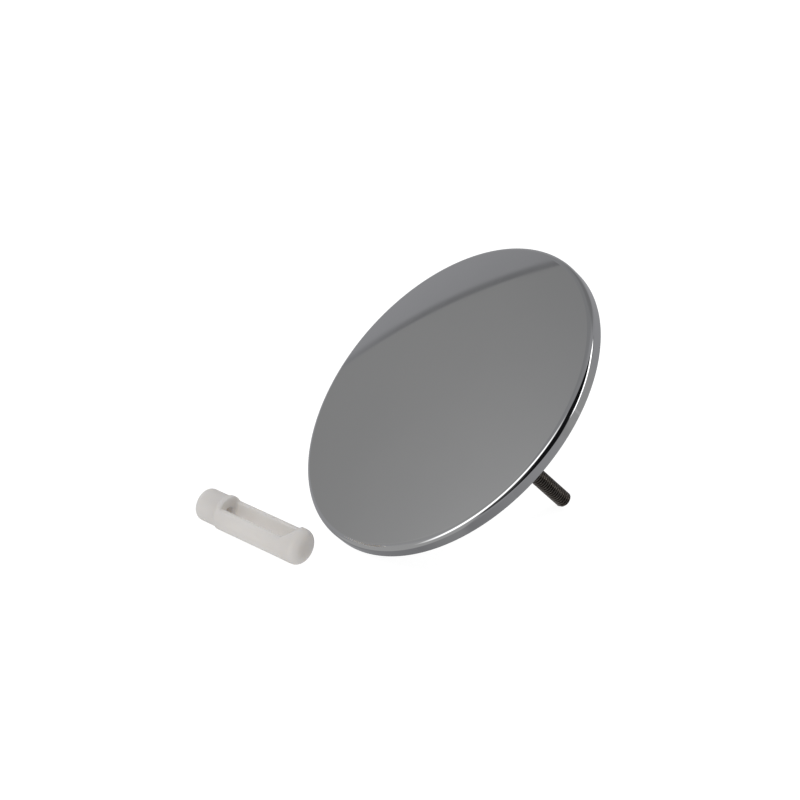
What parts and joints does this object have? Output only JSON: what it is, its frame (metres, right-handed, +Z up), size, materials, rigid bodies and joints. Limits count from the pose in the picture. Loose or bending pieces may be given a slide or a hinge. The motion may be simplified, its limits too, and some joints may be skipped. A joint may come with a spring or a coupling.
{
  "type": "drain stopper",
  "caption": "Round mirror-chromed drain stopper cap with a threaded stud and a clamped rubber seal, lying beside its screw-on slotted plastic lift stem.",
  "frame": {"origin": "middle of the floor print of both pieces as they lie, on the floor", "axes": "+Z up from the floor, +X to the right of the picture, along the longest extent, +Y away from the viewer"},
  "size_m": [0.0852, 0.0758, 0.0623],
  "materials": {
    "chrome_plate": "mirror-polished chrome plate",
    "brass_insert": "machined brass",
    "stud_steel": "dark rolled thread",
    "seal_rubber": "matt moulded rubber",
    "plate_plastic": "moulded acetal, fine texture",
    "fastener_steel": "zinc-plated steel",
    "stem_nylon": "natural off-white nylon, slightly translucent"
  },
  "bodies": {
    "stopper": {"cap": "chrome_plate", "boss": "brass_insert", "stud": "stud_steel", "seal_ring": "seal_rubber", "seal_plate": "plate_plastic"},
    "washer": {"clamp_washer": "fastener_steel"},
    "nut": {"clamp_nut": "fastener_steel"},
    "stem": {"eye_stem": "stem_nylon"}
  },
  "joints": [
    {"name": "clamp_washer_travel", "type": "slide", "parent": "stopper", "child": "washer", "axis": [0.6705, 0.351, -0.6536], "range_m": [0, 0.0056]},
    {"name": "clamp_nut_turn", "type": "hinge", "parent": "washer", "child": "nut", "pos_m": [0.01601, 0.0027, 0.02602], "axis": [0.6705, 0.351, -0.6536], "range_deg": [0, 2880.1]},
    {"name": "eye_stem_turn", "type": "hinge", "parent": "stopper", "child": "stem", "pos_m": [-0.02866, -0.02102, 0.00417], "axis": [0.829, -0.5592, 0], "continuous": true}
  ],
  "couplings": [
    {"joint": "clamp_nut_turn", "follows": "clamp_washer_travel", "rad_per_m": 8976}
  ]
}
